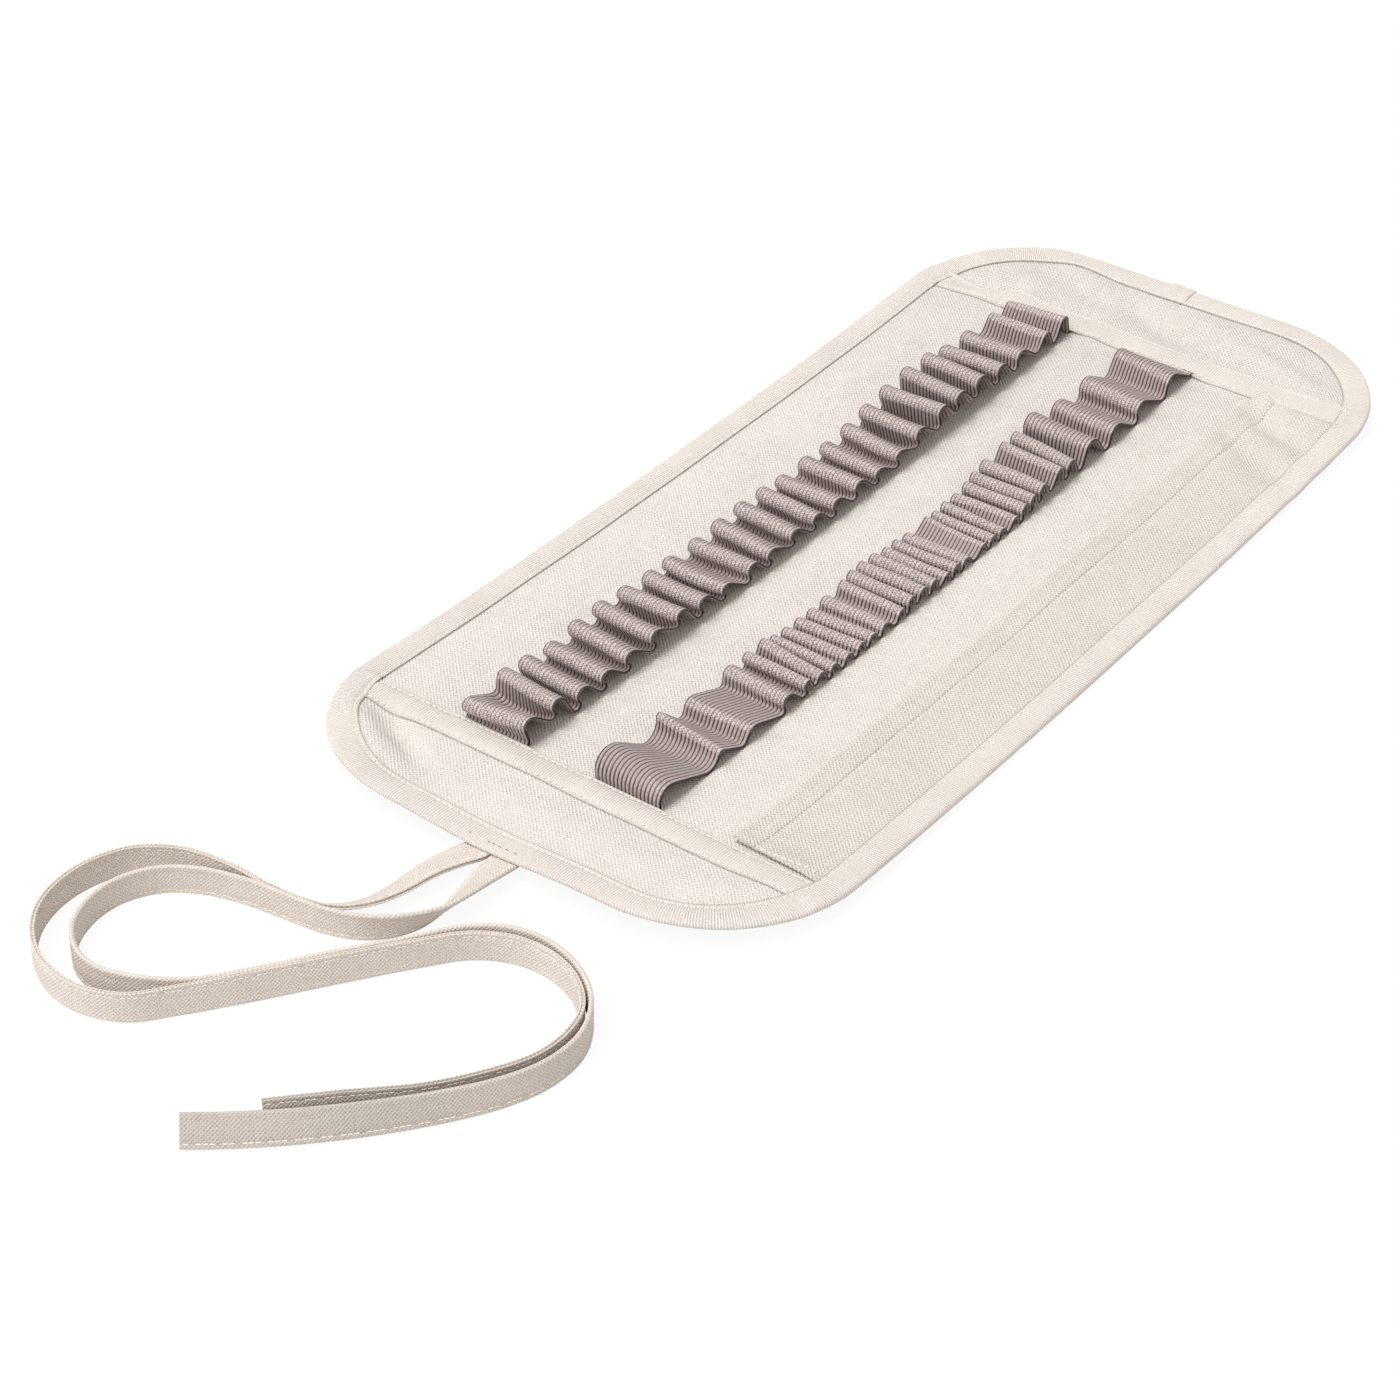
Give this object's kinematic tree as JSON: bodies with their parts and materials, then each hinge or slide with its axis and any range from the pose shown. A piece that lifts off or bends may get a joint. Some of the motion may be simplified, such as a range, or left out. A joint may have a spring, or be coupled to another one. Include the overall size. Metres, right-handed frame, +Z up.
{
  "type": "roll-up pouch",
  "caption": "Roll-up canvas pouch lying open: a long bound mat with two rows of elastic loops, a low side pocket, cross strips over the band ends and two tie tapes at one end.",
  "frame": {"origin": "on the table under the middle of the mat, ties not counted", "axes": "+X from the end with the ties to the far end, +Y to the side without the pocket, +Z up"},
  "size_m": [0.7005, 0.24, 0.0145],
  "materials": {
    "canvas": "matte",
    "tape": "matte",
    "elastic": "matte"
  },
  "bodies": {
    "near_end": {"near_panel": "canvas", "near_binding": "tape", "short_tie": "tape", "long_tie": "tape"},
    "bay_1": {"cloth_1": "canvas", "left_binding_1": "tape", "right_binding_1": "tape", "pocket_1": "canvas", "left_band_1": "elastic", "right_band_1": "elastic", "near_strip": "tape"},
    "bay_2": {"cloth_2": "canvas", "left_binding_2": "tape", "right_binding_2": "tape", "pocket_2": "canvas", "left_band_2": "elastic", "right_band_2": "elastic"},
    "bay_3": {"cloth_3": "canvas", "left_binding_3": "tape", "right_binding_3": "tape", "pocket_3": "canvas", "left_band_3": "elastic", "right_band_3": "elastic"},
    "bay_4": {"cloth_4": "canvas", "left_binding_4": "tape", "right_binding_4": "tape", "pocket_4": "canvas", "left_band_4": "elastic", "right_band_4": "elastic"},
    "bay_5": {"cloth_5": "canvas", "left_binding_5": "tape", "right_binding_5": "tape", "pocket_5": "canvas", "left_band_5": "elastic", "right_band_5": "elastic"},
    "bay_6": {"cloth_6": "canvas", "left_binding_6": "tape", "right_binding_6": "tape", "pocket_6": "canvas", "left_band_6": "elastic", "right_band_6": "elastic"},
    "bay_7": {"cloth_7": "canvas", "left_binding_7": "tape", "right_binding_7": "tape", "pocket_7": "canvas", "left_band_7": "elastic", "right_band_7": "elastic"},
    "bay_8": {"cloth_8": "canvas", "left_binding_8": "tape", "right_binding_8": "tape", "pocket_8": "canvas", "left_band_8": "elastic", "right_band_8": "elastic", "far_strip": "tape"},
    "far_end": {"far_panel": "canvas", "far_binding": "tape"}
  },
  "joints": [
    {"name": "roll_1", "type": "hinge", "parent": "near_end", "child": "bay_1", "pos_m": [-0.2173, 0, 0.0034], "axis": [0, -1, 0], "range_deg": [0, 30]},
    {"name": "roll_2", "type": "hinge", "parent": "bay_1", "child": "bay_2", "pos_m": [-0.17076, 0, 0.0034], "axis": [0, -1, 0], "range_deg": [0, 33]},
    {"name": "roll_3", "type": "hinge", "parent": "bay_2", "child": "bay_3", "pos_m": [-0.10628, 0, 0.0034], "axis": [0, -1, 0], "range_deg": [0, 36]},
    {"name": "roll_4", "type": "hinge", "parent": "bay_3", "child": "bay_4", "pos_m": [-0.0418, 0, 0.0034], "axis": [0, -1, 0], "range_deg": [0, 42]},
    {"name": "roll_5", "type": "hinge", "parent": "bay_4", "child": "bay_5", "pos_m": [0.00656, 0, 0.0034], "axis": [0, -1, 0], "range_deg": [0, 45]},
    {"name": "roll_6", "type": "hinge", "parent": "bay_5", "child": "bay_6", "pos_m": [0.05492, 0, 0.0034], "axis": [0, -1, 0], "range_deg": [0, 48]},
    {"name": "roll_7", "type": "hinge", "parent": "bay_6", "child": "bay_7", "pos_m": [0.10328, 0, 0.0034], "axis": [0, -1, 0], "range_deg": [0, 51]},
    {"name": "roll_8", "type": "hinge", "parent": "bay_7", "child": "bay_8", "pos_m": [0.15164, 0, 0.0034], "axis": [0, -1, 0], "range_deg": [0, 54]},
    {"name": "roll_9", "type": "hinge", "parent": "bay_8", "child": "far_end", "pos_m": [0.2143, 0, 0.0034], "axis": [0, -1, 0], "range_deg": [0, 87]}
  ],
  "couplings": [
    {"joint": "roll_2", "follows": "roll_1", "ratio": 1.1},
    {"joint": "roll_3", "follows": "roll_1", "ratio": 1.2},
    {"joint": "roll_4", "follows": "roll_1", "ratio": 1.4},
    {"joint": "roll_5", "follows": "roll_1", "ratio": 1.5},
    {"joint": "roll_6", "follows": "roll_1", "ratio": 1.6},
    {"joint": "roll_7", "follows": "roll_1", "ratio": 1.7},
    {"joint": "roll_8", "follows": "roll_1", "ratio": 1.8},
    {"joint": "roll_9", "follows": "roll_1", "ratio": 2.9}
  ]
}
